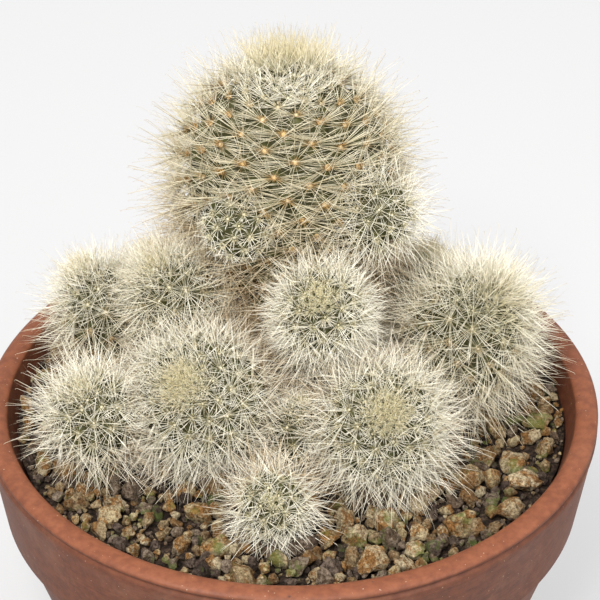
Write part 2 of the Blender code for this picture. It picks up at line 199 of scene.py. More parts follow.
def addBump(tree, shader, height, strength, distance):
    inputs = {"Height": height, "Strength": strength, "Distance": distance}
    bump = addNode(tree, "ShaderNodeBump", inputs)
    tree.links.new(bump.outputs["Normal"], shader.inputs["Normal"])


# Meshes and copies

def meshPiece(name, points, corners, sizes, attributes):
    # corners are the vertex numbers of all faces in a row, and sizes how many each face has
    mesh = bpy.data.meshes.new(name)
    mesh.vertices.add(len(points))
    mesh.vertices.foreach_set("co", np.asarray(points, np.float32).ravel())
    mesh.loops.add(len(corners))
    mesh.loops.foreach_set("vertex_index", np.asarray(corners, np.int32))
    mesh.polygons.add(len(sizes))
    mesh.polygons.foreach_set("loop_start", startsOf(sizes).astype(np.int32))
    for label, values in attributes.items():
        layer = mesh.attributes.new(label, "FLOAT", "POINT")
        layer.data.foreach_set("value", np.asarray(values, np.float32))
    mesh.update(calc_edges=True)
    mesh.validate()
    mesh.shade_smooth()
    piece = bpy.data.objects.new(name, mesh)
    scene.collection.objects.link(piece)
    return piece


def startsOf(sizes):
    # where each of them begins when they follow one another
    return np.concatenate([[0], np.cumsum(sizes)[:-1]])


def shapeOf(obj):
    # the points and faces of a modelled shape, which is then removed
    mesh = obj.data
    points = np.array([v.co for v in mesh.vertices])
    corners = np.array([v for face in mesh.polygons for v in face.vertices])
    sizes = np.array([len(face.vertices) for face in mesh.polygons])
    bpy.data.objects.remove(obj)
    bpy.data.meshes.remove(mesh)
    return points, corners, sizes


def copiesOf(shape, places, xWays, yWays, zWays, bends=None):
    # one copy at each place, stretched along its own three ways, and bent towards its tip
    points, corners, sizes = shape
    x, y, z = (points[None, :, i, None] for i in range(3))
    made = places[:, None] + xWays[:, None] * x + yWays[:, None] * y + zWays[:, None] * z
    if bends is not None:
        made = made + bends[:, None] * z ** 2
    count = len(places)
    shifts = np.repeat(np.arange(count) * len(points), len(corners))
    return made.reshape(-1, 3), np.tile(corners, count) + shifts, np.tile(sizes, count)


def joined(parts):
    points, corners, sizes = zip(*parts)
    starts = startsOf([len(some) for some in points])
    corners = [theirs + start for theirs, start in zip(corners, starts)]
    return np.concatenate(points), np.concatenate(corners), np.concatenate(sizes)


def finishPiece(piece, material, node):
    piece.data.materials.append(material)
    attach(piece, "root")
    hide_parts(node)


def unit(vectors):
    return vectors / np.maximum(np.linalg.norm(vectors, axis=-1, keepdims=True), 1e-12)


def smooth(value, low, high):
    share = np.clip((value - low) / (high - low), 0, 1)
    return share * share * (3 - 2 * share)


setUpStudio()


# The terracotta pan

pan = {
    "rim": 75 * mm, "lipInner": 69.4 * mm, "height": 76 * mm,
    "crown": 1.3 * mm,  # how far the lip's top rises over its sides
    "grooveDepth": 0.6 * mm, "grooveHalf": 1.1 * mm,
    "grooveUnder": 1.1 * mm,  # how far under the lip it runs
    "collarHeight": 26.4 * mm, "collarFoot": 71.5 * mm, "collarTop": 74.8 * mm,
    "collarRound": 1 * mm, "collarStep": 2 * mm, "collarSlope": 0.8 * mm,
    "base": 54.5 * mm, "baseRound": 1.5 * mm,
    "floor": 8 * mm, "floorRadius": 49.5 * mm, "floorRound": 2 * mm,
    "drain": 7 * mm, "drainRound": 0.8 * mm,
    "steps": 160,
    "uneven": 0.3 * mm, "unevenSize": 0.06, "evenUpTo": 20 * mm,
}
clay = {
    # the body's colours, down the collar and wall, are darkened as painted shade; the lip's are a
    # warmer clay, painted lighter as a lit top
    "body": ((0.28, 0.066, 0.018, 0.008), (0.5, 0.086, 0.024, 0.01), (0.72, 0.115, 0.034, 0.015)),
    "lip": ((0.25, 0.178, 0.05, 0.02), (0.75, 0.26, 0.08, 0.032)),
    "lipLitFrom": (0.0742, 0.0757),
    "wheelLines": ((0.3, 0.065, 0.02, 0.011), (0.7, 0.2, 0.072, 0.037)),
    "darkGrain": (0.07, 0.022, 0.012),
    "lightGrain": (0.22, 0.075, 0.035),
    "bloom": (0.3, 0.16, 0.1),
    "pit": (0.06, 0.028, 0.02),
    "speck": (0.6, 0.45, 0.32),
}


def roundEdge(centre, radius, start, end, count):
    ways = [math.radians(start + (end - start) * i / (count - 1)) for i in range(count)]
    return [(centre[0] + radius[0] * math.cos(a), centre[1] + radius[1] * math.sin(a))
            for a in ways]


def between(first, last, count):
    # points on a straight stretch, without its ends
    return [(first[0] + (last[0] - first[0]) * i / (count + 1),
             first[1] + (last[1] - first[1]) * i / (count + 1)) for i in range(1, count + 1)]


def wallRadius(z):
    # of the pan's inside
    share = (z - pan["floor"]) / (pan["height"] - pan["floor"])
    return pan["floorRadius"] + (pan["lipInner"] - pan["floorRadius"]) * share


def spunShape(name, outline, steps):
    # one vertex is extruded along the outline, which is then spun round the Z axis
    bpy.ops.mesh.primitive_plane_add(size=mm)
    shape = bpy.context.object
    shape.name = name
    shape.data.name = name
    bpy.ops.object.mode_set(mode="EDIT")
    bpy.ops.mesh.merge(type="CENTER")
    bpy.ops.transform.translate(value=(outline[0][0], 0, outline[0][1]))
    for before, after in zip(outline, outline[1:]):
        step = (after[0] - before[0], 0, after[1] - before[1])
        bpy.ops.mesh.extrude_region_move(TRANSFORM_OT_translate={"value": step})
    bpy.ops.mesh.select_all(action="SELECT")
    bpy.ops.mesh.spin(steps=steps, angle=fullTurn, center=(0, 0, 0), axis=(0, 0, 1))
    bpy.ops.mesh.select_all(action="SELECT")
    bpy.ops.mesh.remove_doubles(threshold=0.01 * mm)
    bpy.ops.mesh.normals_make_consistent(inside=False)
    bpy.ops.object.mode_set(mode="OBJECT")
    shape.data.shade_smooth()
    shape.select_set(False)
    return shape


def panOutline():
    # from the drain hole under the base, up the outside, over the lip and down the inside
    base, baseRound = pan["base"], pan["baseRound"]
    collarFoot, collarRound = pan["height"] - pan["collarHeight"], pan["collarRound"]
    shelf = (pan["collarFoot"] - pan["collarStep"], collarFoot - pan["collarSlope"])
    points = [(pan["drain"] + pan["drainRound"], 0)]
    points += between(points[-1], (base - baseRound, 0), 6)
    points += roundEdge((base - baseRound, baseRound), (baseRound, baseRound), -90, 0, 5)
    points += between(points[-1], shelf, 10) + [shelf]
    points += roundEdge((pan["collarFoot"] - collarRound, collarFoot + collarRound),
                        (collarRound, collarRound), -90, 0, 5)

    lipHalf = (pan["rim"] - pan["lipInner"]) / 2
    lipMiddle, lipHeight = pan["rim"] - lipHalf, pan["height"] - pan["crown"]
    middle, half = lipHeight - pan["grooveUnder"], pan["grooveHalf"]
    points += between(points[-1], (pan["collarTop"], middle - half), 8)
    for z in np.linspace(middle - half, middle + half, 9).tolist():
        depth = pan["grooveDepth"] * (0.5 + 0.5 * math.cos(math.pi * (z - middle) / half))
        points.append((pan["rim"] - depth, z))
    points += roundEdge((lipMiddle, lipHeight), (lipHalf, pan["crown"]), 0, 180, 15)

    inside = (wallRadius(pan["floor"]) - pan["floorRound"], pan["floor"])
    drainTop = (pan["drain"] + pan["drainRound"], pan["floor"])
    points += between(points[-1], inside, 12) + [inside]
    points += between(inside, drainTop, 5) + [drainTop]
    points += [(pan["drain"], pan["floor"] - pan["drainRound"])]
    points += [(pan["drain"], pan["drainRound"]), points[0]]
    return points


def clayMaterial():
    fired, tree, shader = newMaterial("firedTerracotta", 0.62, 0.3)
    place = objectPlace(tree)
    height = addNode(tree, "ShaderNodeSeparateXYZ", {0: place})
    broad = noiseOf(tree, place, 26, 4, 0.6)
    fine = noiseOf(tree, place, 420, 4, 0.65)
    # warmer and cleaner on the lip, whose top is also painted lighter as if lit from above; the
    # collar and wall are painted darker as shade
    lip = levelOf(tree, height.outputs["Z"], *clay["lipLitFrom"])
    colour = mixOf(tree, lip, rampOf(tree, broad, clay["body"]), rampOf(tree, fine, clay["lip"]))
    bloom = levelOf(tree, noiseOf(tree, place, 48, 5, 0.7), 0.5, 0.72)
    dusty = mathOf(tree, "SUBTRACT", 0.4, mathOf(tree, "MULTIPLY", lip, 0.3))
    colour = mixOf(tree, mathOf(tree, "MULTIPLY", bloom, dusty), colour, clay["bloom"])
    # lines left by the wheel
    stretched = addNode(tree, "ShaderNodeMapping", {"Vector": place})
    stretched.inputs["Scale"].default_value = (1, 1, 22)
    lines = noiseOf(tree, stretched.outputs["Vector"], 55, 5, 0.65)
    colour = mixOf(tree, 0.3, colour, rampOf(tree, lines, clay["wheelLines"]))
    grain = levelOf(tree, fine, 0.3, 0.7)
    colour = mixOf(tree, 0.28, colour, mixOf(tree, grain, clay["darkGrain"], clay["lightGrain"]))
    # small pits and pale specks
    pits = levelOf(tree, cellsOf(tree, place, 330), 0.0, 0.2)
    dots = levelOf(tree, noiseOf(tree, place, 260, 2), 0.58, 0.66)
    dark = mathOf(tree, "MULTIPLY", mathOf(tree, "SUBTRACT", 1.0, pits), dots)
    colour = mixOf(tree, dark, colour, clay["pit"])
    specks = levelOf(tree, noiseOf(tree, place, 1500, 1), 0.75, 0.79)
    colour = mixOf(tree, mathOf(tree, "MULTIPLY", specks, 0.5), colour, clay["speck"])
    paintWith(tree, shader, colour)
    rough = mathOf(tree, "MULTIPLY", levelOf(tree, broad, 0.2, 0.8), 0.2)
    tree.links.new(mathOf(tree, "ADD", rough, 0.5), shader.inputs["Roughness"])
    relief = mathOf(tree, "SUBTRACT", mathOf(tree, "ADD", fine, lines),
                    mathOf(tree, "MULTIPLY", dark, 2.0))
    addBump(tree, shader, relief, 0.25, 0.15 * mm)
    return fired


def makePan():
    piece = spunShape("terracotta_pan", panOutline(), pan["steps"])
    # hand pressing leaves the wall a little out of true
    for vert in piece.data.vertices:
        out = Vector((vert.co.x, vert.co.y, 0)).normalized()
        swell = noise.noise(vert.co / pan["unevenSize"])
        vert.co += out * swell * pan["uneven"] * min(1, vert.co.z / pan["evenUpTo"])
    finishPiece(piece, clayMaterial(), "pot")
    print("pan made,", len(piece.data.polygons), "faces")


makePan()


# The stems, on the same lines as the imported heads

soilLevel = 69 * mm
rootDepth = 12 * mm
kneeReach = 1.6  # how far it bends under the globe's middle at most, in radii
collarLift = 1.2 * mm  # how far over the soil it starts to narrow
waistCurve = 1.7
rootTaper = 0.62
shootDepth = 5 * mm

# centre over the soil, radius and dome in mm, lean and way in degrees, and waist
heads = {
    "head_main": ((-1.2, 33, 51.5), 25.5, 26, 2, 90, 0.47),
    "head_back_left": ((-45.5, 19.5, 18), 9.8, 12, 28, 170, 0.4),
    "head_mid_left": ((-27.5, 13, 27), 9.8, 12, 28, 215, 0.4),
    "head_front_left": ((-46.8, -16, 13), 9.3, 11, 25, 240, 0.4),
    "head_big_left": ((-20.8, -12, 14.5), 15, 15.5, 42, 245, 0.4),
    "head_centre": ((7.5, -5, 36), 8.8, 10, 40, 262, 0.3),
    "head_right": ((41.8, 8, 18.5), 13.2, 20, 28, 318, 0.35),
    "head_big_front": ((21.3, -21.5, 14.3), 13, 14, 42, 275, 0.4),
    "head_small_front": ((-4.2, -43, 8), 7, 8, 50, 270, 0.35),
    "head_inner": ((1.2, -17.2, 9), 6.2, 8, 8, 300, 0.35),
    "head_back_right": ((32, 36, 11.5), 8.5, 10, 25, 50, 0.35),
    "head_behind_left": ((-33, 43, 9), 8.6, 10, 25, 130, 0.35),
    "head_behind": ((4, 58, 6.5), 6.4, 7.5, 25, 85, 0.35),
}
# side shoots, which grow from the main head's flank
shoots = {
    "shoot_left": ((-12.5, 11, 50.5), 7.5, 8, 60, 262, 0),
    "shoot_right": ((20.8, 14.5, 51), 7.5, 8, 60, 285, 0),
}

# The coat of each head, in mm: the spacing of areoles in the tuft, round it and lower down, and
# how far from the apex they start to open out; the tuft's size, and how far it is set back; the
# zone of short spines by the apex, as half its width, half its depth and how far it is brought
# forward. Spine lengths there and in the tuft are shares of the full one. Also shares: amber in
# the areoles, cream in the spines, how many are combed sideways, how flat they lie, how far those
# round the tuft are still bunched like a brush, how dense they stand, how thick they are, and how
# brown the old ones are on the outside and on the inside of the clump
plain = {
    "tight": 2, "open": 4, "full": 5.4, "opens": 5, "tuft": 2.8, "back": 0,
    "zone": (5, 5, 0), "inTuft": 0.46, "inZone": 0.5, "spine": 10.5, "amber": 0.05, "cream": 0,
    "comb": 0.1, "flat": 0, "closing": 0.4, "dense": 1.28, "thick": 0.79,
    "worn": 0.25, "innerWorn": 1,
}
coats = {
    "head_main": dict(tight=4.2, open=3.5, full=6.6, opens=8, tuft=9, back=9, zone=(13, 6, 6),
                      inTuft=0.85, inZone=0.45, spine=13.2, amber=0.9, comb=0.82, flat=0.8,
                      closing=0.15, dense=1.42, thick=0.8, worn=1),
    "head_back_left": dict(full=5.8, tuft=1.6, inTuft=0.6, inZone=0.7, spine=12, amber=0.6),
    "head_mid_left": dict(full=5.8, tuft=1.6, inTuft=0.6, inZone=0.7, spine=12, amber=0.4,
                          cream=0.15),
    "head_front_left": dict(tuft=1.3, inTuft=0.5, inZone=0.6, spine=11, amber=0.1, dense=1.12),
    "head_big_left": dict(open=4.4, opens=9, tuft=3.8, zone=(8, 8, 0), spine=11.5),
    "head_centre": dict(open=3.8, full=5, spine=9.6),
    "head_right": dict(open=4, full=6, tuft=5.5, back=-7, zone=(3, 3, 0), inTuft=0.85,
                       inZone=0.85, spine=13.4, amber=0.35, cream=0.1, dense=1.24,
                       innerWorn=0.4),
    "head_big_front": dict(open=4.4, opens=8, tuft=3.4, zone=(7, 7, 0), spine=11.5),
    "head_small_front": dict(open=3.4, full=4.8, opens=3, tuft=1.4, zone=(3, 3, 0), inZone=0.55,
                             spine=9, dense=1),
    "head_inner": dict(tuft=1, inTuft=0.5, zone=(4, 4, 0), spine=9, amber=0.4),
    # this head's spines are painted paler and kept from browning, as painted light on a head that
    # lies in the main head's shadow
    "head_back_right": dict(spine=14.5, cream=0.5, dense=1.3, worn=0, innerWorn=0.1),
    "head_behind_left": dict(amber=0.5),
    "head_behind": dict(spine=7, amber=0.5),
    "shoot_left": dict(tight=3, open=3.7, full=4.2, opens=3, tuft=0.5, zone=(3, 3, 0),
                       inTuft=0.7, inZone=0.9, spine=4.6, comb=0, flat=1, dense=0.57),
    "shoot_right": dict(tight=3.2, open=4.2, full=5, opens=3, tuft=0.5, zone=(3, 3, 0),
                        inTuft=0.6, inZone=0.75, spine=11.5, comb=0, dense=0.88),
}


class Stem:
    # a leaning stem under a globe: t is 0 at the root, 1 at the globe's middle, 2 at the apex
    def __init__(self, name):
        self.rooted = name in heads
        centre, radius, dome, lean, way, self.waist = (heads | shoots)[name]
        self.radius, self.dome, self.coat = radius * mm, dome * mm, plain | coats[name]
        self.centre = Vector(centre) * mm + Vector((0, 0, soilLevel))
        lean, way = math.radians(lean), math.radians(way)
        self.side = Vector((-math.sin(way), math.cos(way), 0))
        self.axis = Vector((math.sin(lean) * math.cos(way), math.sin(lean) * math.sin(way),
                            math.cos(lean)))
        if self.rooted:
            even = (self.centre.z - soilLevel + rootDepth) / (1 + self.axis.z)
            self.knee = self.centre - self.axis * min(even, kneeReach * self.radius)
            self.foot = Vector((self.knee.x, self.knee.y, soilLevel - rootDepth))
            self.soil = self.findCollar()
        else:
            self.foot = self.centre - self.axis * shootDepth
            self.knee = (self.foot + self.centre) / 2
            self.soil = 0.5

    def findCollar(self):
        # t where the stem stands clear of the soil, by halving
        width, low, high = self.radius * (1 - self.waist), 0.0, 1.0
        for _ in range(30):
            middle = (low + high) / 2
            point, way = self.axisAt(middle)
            if point.z - width * math.sqrt(1 - way.z ** 2) < soilLevel + collarLift:
                low = middle
            else:
                high = middle
        return middle

    def axisAt(self, t):
        point = self.foot * (1 - t) ** 2 + self.knee * 2 * t * (1 - t) + self.centre * t * t
        way = (self.knee - self.foot) * (1 - t) + (self.centre - self.knee) * t
        return point, way.normalized()

    def width(self, t):
        if t >= self.soil:
            down = (1 - t) / (1 - self.soil)
            return self.radius * (1 - self.waist * down ** waistCurve)
        return self.radius * (1 - self.waist) * (rootTaper + (1 - rootTaper) * t / self.soil)

    def ring(self, t, angles):
        # points round the skin at t
        if t > 1:
            tilt = (t - 1) * math.pi / 2
            middle = self.centre + self.axis * self.dome * math.sin(tilt)
            radius, way = self.radius * math.cos(tilt), self.axis
        else:
            (middle, way), radius = self.axisAt(t), self.width(t)
        front = way.cross(self.side)
        around = np.outer(np.cos(angles), self.side) + np.outer(np.sin(angles), front)
        return np.array(middle) + around * radius

    def skin(self, rows, angles):
        # a ring of points for each t
        return np.array([self.ring(t, angles) for t in rows])

    def spots(self, t, angle):
        # one point on the skin for each pair of t and angle
        return np.array([self.ring(a, [b])[0] for a, b in zip(t, angle)])

    def facing(self, t, angle, step=1e-3):
        # the spots, with their outward normals and the way up the skin
        spot = self.spots(t, angle)
        up = unit(self.spots(t + step, angle) - self.spots(t - step, angle))
        out = unit(np.cross(self.spots(t, angle + step) - spot, up))
        return spot, out, unit(np.cross(out, np.cross(up, out)))

    def rowsDown(self, low, count=400):
        # rows from the apex down, with the distance and the area above each
        rows = np.linspace(plant["apex"], low, count)
        near, far = self.skin(rows, [0.0])[:, 0], self.skin(rows, [math.pi])[:, 0]
        radii = np.linalg.norm(near - far, axis=1) / 2
        middle = (near + far) / 2
        slant = np.hypot(np.linalg.norm(np.diff(middle, axis=0), axis=1), np.diff(radii))
        slant = np.concatenate([[0], slant])
        return rows, np.cumsum(slant), np.cumsum(slant * radii * fullTurn)


# Areoles and the green body. Each pair says where a change begins and where it is complete
plant = {
    "apex": 1.999, "bodyApex": 1.985,  # t of the highest rows
    "bodyRoot": 0.35,  # share of the way up to the soil where the body ends
    "shootRoot": 0.02, "shootAreoles": 0.95,  # t of the lowest rows on a shoot
    "tuftOpening": (0.4, 0.9),  # of the distance where the coat opens out
    "growthZone": 9 * mm,  # distance over which the areoles move apart below the tuft
    "ageing": (0.33, 0.8),  # of the way down from the apex
    "tuftEdge": (0.7, 1.5), "zoneEdge": (0.7, 1.9), "closedEdge": (0.4, 1.6),  # of their sizes
    "outsideEdge": (-0.7, 0.3),
    "amberFrom": (8 * mm, 17 * mm),
    "step": 0.75 * mm,  # size of a face of the body
    "tipRise": 0.9 * mm,
    "hollow": 0.42, "valley": 0.9,  # depth and width, as shares of the areoles' spacing
    "roundness": 0.8,
    "loneEdge": (0.8, 1.6),  # spacings from an areole to where its tubercle ends
    "lowest": 1.5 * mm,  # of the last areole, over the soil
    "cork": 8 * mm,  # how high it creeps up from the soil
}
skinColours = {
    # from the valleys between tubercles, painted near black as shade, to the tubercles' tips; the
    # whole ramp is kept dark as painted shade from the spines
    "mound": ((0.0, 0.018, 0.014, 0.006), (0.35, 0.04, 0.04, 0.013),
              (0.75, 0.085, 0.086, 0.026), (1.0, 0.13, 0.128, 0.043)),
    "darkMottle": (0.034, 0.032, 0.011),
    "lightMottle": (0.11, 0.112, 0.036),
    "cork": (0.16, 0.10, 0.055),
}


def spaceAt(coat, far):
    # from one areole to the next: tight in the tuft, open round it, and full lower down
    start = coat["opens"] * mm
    opened = smooth(far / start, *plant["tuftOpening"])
    tufted = coat["tight"] + (coat["open"] - coat["tight"]) * opened
    space = tufted + (coat["full"] - tufted) * smooth(far, start, start + plant["growthZone"])
    return float(space) * mm


def areolesOf(stem):
    # where the areoles sit, in the order they grow: each a golden angle on from the last
    coat, low = stem.coat, stem.soil if stem.rooted else plant["shootAreoles"]
    rows, distance, area = stem.rowsDown(low)
    spots, total = [], (coat["tight"] * mm) ** 2 * math.sqrt(3) / 4
    while total < area[-1]:
        far = float(np.interp(total, area, distance))
        space = spaceAt(coat, far)
        spots.append((float(np.interp(total, area, rows)), far, space))
        total += space ** 2 * math.sqrt(3) / 2
    t, far, space = np.array(spots).T
    spot, out, up = stem.facing(t, np.arange(len(t)) * goldenAngle)
    keep = spot[:, 2] > soilLevel + plant["lowest"]

    age = smooth(far / distance[-1], *plant["ageing"]) * stem.rooted
    wide, deep, forward = np.array(coat["zone"]) * mm
    fromApex = spot - stem.ring(plant["apex"], [0.0])[0]
    tufted = np.linalg.norm(fromApex - np.array([0, coat["back"] * mm, 0]), axis=1)
    young = 1 - smooth(tufted / (coat["tuft"] * mm), *plant["tuftEdge"])
    zoned = (fromApex + np.array([0, forward, 0])) / np.array([wide, deep, max(wide, deep)])
    zoned = smooth(np.linalg.norm(zoned, axis=1), *plant["zoneEdge"])
    grown = coat["inZone"] + (1 - coat["inZone"]) * zoned
    grown = grown + (coat["inTuft"] - grown) * young
    outside = smooth((unit(spot[:, :2]) * out[:, :2]).sum(1), *plant["outsideEdge"])
    closed = 1 - smooth(far / (coat["opens"] * mm), *plant["closedEdge"])
    found = {"spot": spot + out * plant["tipRise"], "out": out, "up": up, "space": space,
             "age": age, "young": young, "grown": grown, "closed": closed,
             "amber": coat["amber"] * smooth(far, *plant["amberFrom"]),
             "worn": age * (coat["worn"] * outside + coat["innerWorn"] * (1 - outside))}
    return {name: values[keep] for name, values in found.items()}


def moundsOf(grid, areoles):
    # how near the grid's points are to the tips of the tubercles, and how far they lie below
    tips = KDTree(len(areoles["spot"]))
    for i, spot in enumerate(areoles["spot"]):
        tips.insert(spot, i)
    tips.balance()
    mound, depth = np.zeros(grid.shape[:2]), np.zeros(grid.shape[:2])
    for at in np.ndindex(mound.shape):
        (_, nearest, near), (_, _, second) = tips.find_n(grid[at], 2)
        space = areoles["space"][nearest]
        here = min(1.0, max(0.0, (second - near) / (plant["valley"] * space)))
        here *= 1 - float(smooth(near / space, *plant["loneEdge"]))
        mound[at] = here
        depth[at] = space * plant["hollow"] * (1 - here ** plant["roundness"])
    return mound, depth


def closedShape(grid):
    # four-sided faces between the grid's rows, and a fan over its top and under its foot
    count, around = grid.shape[:2]
    points = np.concatenate([grid.reshape(-1, 3), [grid[0].mean(0), grid[-1].mean(0)]])
    here, row = np.arange(around), np.arange(count - 1)[:, None] * around
    after, top = (here + 1) % around, (count - 1) * around
    quads = [row + here, row + after, row + around + after, row + around + here]
    cap = [top + here, top + after, np.full(around, count * around + 1)]
    base = [after, here, np.full(around, count * around)]
    corners = [np.stack(faces, axis=-1).ravel() for faces in (quads, cap, base)]
    sizes = np.concatenate([np.full((count - 1) * around, 4), np.full(2 * around, 3)])
    return points, np.concatenate(corners), sizes


def skinOf(stem, areoles):
    # the green body: a tubercle under each areole, with a valley half way to its neighbours
    low = stem.soil * plant["bodyRoot"] if stem.rooted else plant["shootRoot"]
    rows, distance, _ = stem.rowsDown(low)
    count = int(distance[-1] / plant["step"])
    around = int(fullTurn * stem.radius / plant["step"])
    t = np.interp(np.linspace(0, distance[-1], count), distance, rows)[::-1]
    t[-1] = plant["bodyApex"]
    grid = stem.skin(t, np.arange(around) * fullTurn / around)
    upwards = np.gradient(grid, axis=0)
    sideways = np.roll(grid, -1, axis=1) - np.roll(grid, 1, axis=1)
    out = unit(np.cross(sideways, upwards))
    mound, depth = moundsOf(grid, areoles)
    grid = grid + out * (plant["tipRise"] - depth)[..., None]
    return closedShape(grid), np.concatenate([mound.ravel(), [0, 0.5]])


def skinMaterial():
    skin, tree, shader = newMaterial("cactusSkin", 0.5, 0.2)
    # painted shade: dark in the valleys between tubercles, lighter towards their tips
    colour = rampOf(tree, attributeOf(tree, "mound"), skinColours["mound"])
    mottled = noiseOf(tree, objectPlace(tree), 900, 3)
    mottle = mixOf(tree, mottled, skinColours["darkMottle"], skinColours["lightMottle"])
    colour = mixOf(tree, 0.35, colour, mottle)
    edge = mathOf(tree, "ADD", attributeOf(tree, "cork"), mathOf(tree, "MULTIPLY", mottled, 0.25))
    colour = mixOf(tree, levelOf(tree, edge, 0.75, 1.05), colour, skinColours["cork"])
    paintWith(tree, shader, colour)
    addBump(tree, shader, mottled, 0.3, 0.2 * mm)
    return skin


# Spines and felt

spine = {
    "sides": 3,
    "cut": 0.6,  # where along its length it can bend
    "slim": 0.5,  # how much of its thickness it loses towards the tip
    "hookCuts": (0.9, 0.94, 0.97), "hookRise": 0.4,
    "hookWidth": 3.5,  # in half thicknesses
    "hookTurn": 0.85,  # of half a turn
    "width": 0.092 * mm,  # half a spine's thickness at its foot
    "widths": (0.7, 1.2),  # thinnest and thickest, as a share of that
    "even": (0.68, 1.14),  # shortest and longest, as a share of the head's own length
    "spread": 0.25,  # how far one strays from its even place round the areole
    "lean": (0.1, 0.7),  # towards the head's axis, at any age and more in the tuft
    "lowest": 0.12,  # rise over the skin
    "bunched": 0.5,  # of those in the tuft
    "flatter": 20,  # degrees that flat spines lie lower
    "loose": 0.1, "bend": 0.025, "combBend": 0.42, "combSpread": 0.42,
    "foot": 0.5 * mm, "sunk": 0.15 * mm,  # from the middle of the areole, and into it
    "youngFewer": 0.4, "oldFewer": 0.45, "oldLonger": 0.45, "oldLoose": 0.3, "droop": 0.3,
    "felt": 1.2 * mm, "feltRise": 0.5 * mm,  # of the short hairs that cover the areole
    "feltShare": 0.35,  # of them that stand on an old areole
    # of each kind: its model, how many, least and most splay in degrees, and length
    "kinds": {"radials": ("straight", 22, 42, 82, 0.88), "between": ("straight", 6, 25, 55, 0.95),
              "centrals": ("hooked", 3, 3, 25, 1.0), "felt": ("hair", 60, 5, 80, 0)},
    "reach": 12 * mm,  # from a head's areoles to the bodies that can be in their way
    "slide": 1.1,  # how far one is turned aside from a neighbouring body
    "stop": 0.95, "shortest": 0.3,  # of the way to that body, and of its own length
    "overGrit": 0.8 * mm, "overRim": 77.5 * mm, "rimFrom": 66 * mm,
    "underTop": 0.1 * mm, "uneven": 1.8 * mm,
}
spineColours = {
    # from foot to tip
    "pale": ((0.0, 0.92, 0.88, 0.66), (0.12, 0.95, 0.92, 0.74), (0.4, 0.98, 0.96, 0.86),
             (0.7, 0.93, 0.9, 0.79), (1.0, 0.56, 0.5, 0.38)),
    "gold": ((0.0, 0.66, 0.42, 0.17), (0.1, 0.74, 0.57, 0.3), (0.2, 0.79, 0.73, 0.52),
             (0.6, 0.78, 0.73, 0.57), (1.0, 0.56, 0.46, 0.3)),
    "fresh": ((0.0, 0.82, 0.79, 0.59), (0.3, 0.82, 0.78, 0.56), (0.7, 0.68, 0.61, 0.4),
              (1.0, 0.46, 0.38, 0.22)),
    "old": ((0.0, 0.7, 0.4, 0.14), (0.1, 0.5, 0.32, 0.16), (0.5, 0.66, 0.5, 0.31),
            (1.0, 0.56, 0.41, 0.25)),
    # from the darkest spine to the lightest
    "tones": ((0.0, 0.5, 0.4, 0.26), (0.4, 0.93, 0.9, 0.82), (1.0, 1.06, 1.06, 1.06)),
    "tone": 0.64, "toneSpread": 0.25, "youngToneSpread": 0.1, "feltDarker": 0.18,
    "hairTip": 0.05,  # how far up a spine's colours a hair reaches
    "creamSpread": (0.4, 1.3),
}
wool = {
    "size": 0.07, "amberSize": 0.04,  # half its width, as a share of the areoles' spacing
    "least": 0.2 * mm, "youngSmaller": 0.1 * mm,
    "widths": (0.85, 1.15), "heights": (0.4, 0.65), "amberSpread": (0.7, 1.3),
    "pale": (0.6, 0.56, 0.38), "amber": (0.56, 0.35, 0.12), "old": (0.3, 0.15, 0.06),
    "young": (0.4, 0.38, 0.22), "fluff": (0.75, 0.64, 0.42),
}


def modelSpine(cuts, hooked=False):
    # a needle of unit length, cut across where it can bend, and slim at its tip
    bpy.ops.mesh.primitive_cone_add(vertices=spine["sides"], radius1=1, radius2=0, depth=1,
                                    location=(0, 0, 0.5))
    needle = bpy.context.object
    bpy.ops.object.transform_apply(location=True)
    bpy.ops.object.mode_set(mode="EDIT")
    for cut in cuts:
        bpy.ops.mesh.select_all(action="SELECT")
        bpy.ops.mesh.bisect(plane_co=(0, 0, cut), plane_no=(0, 0, 1))
    bpy.ops.object.mode_set(mode="OBJECT")
    start = spine["hookCuts"][0]
    for vert in needle.data.vertices:
        wide = Vector((vert.co.x, vert.co.y)).length
        if wide > 1e-6:  # fuller than a cone until near the tip
            fuller = (1 - spine["slim"] * vert.co.z ** 2) / wide
            vert.co.x, vert.co.y = vert.co.x * fuller, vert.co.y * fuller
        if hooked and vert.co.z > start:
            turned = spine["hookTurn"] * math.pi * (vert.co.z - start) / (1 - start)
            vert.co.x += spine["hookWidth"] * (1 - math.cos(turned))
            vert.co.z = start + (1 - start) * spine["hookRise"] * math.sin(turned)
    return shapeOf(needle)


def modelPad():
    # a low felt cushion
    bpy.ops.mesh.primitive_ico_sphere_add(subdivisions=1, radius=1)
    cushion = bpy.context.object
    cushion.scale = (1, 1, 0.5)
    bpy.ops.object.transform_apply(scale=True)
    return shapeOf(cushion)


def spineMaterial():
    horn, tree, shader = newMaterial("spineHorn", 0.38)
    along, age = attributeOf(tree, "along"), attributeOf(tree, "age")
    pale, gold, fresh, old = (rampOf(tree, along, spineColours[name])
                              for name in ("pale", "gold", "fresh", "old"))
    grown = mixOf(tree, attributeOf(tree, "amber"), pale, gold)
    colour = mixOf(tree, attributeOf(tree, "young"), mixOf(tree, age, grown, old), fresh)
    dim = rampOf(tree, attributeOf(tree, "tone"), spineColours["tones"])
    paintWith(tree, shader, mixOf(tree, 1.0, colour, dim, "MULTIPLY"))
    return horn


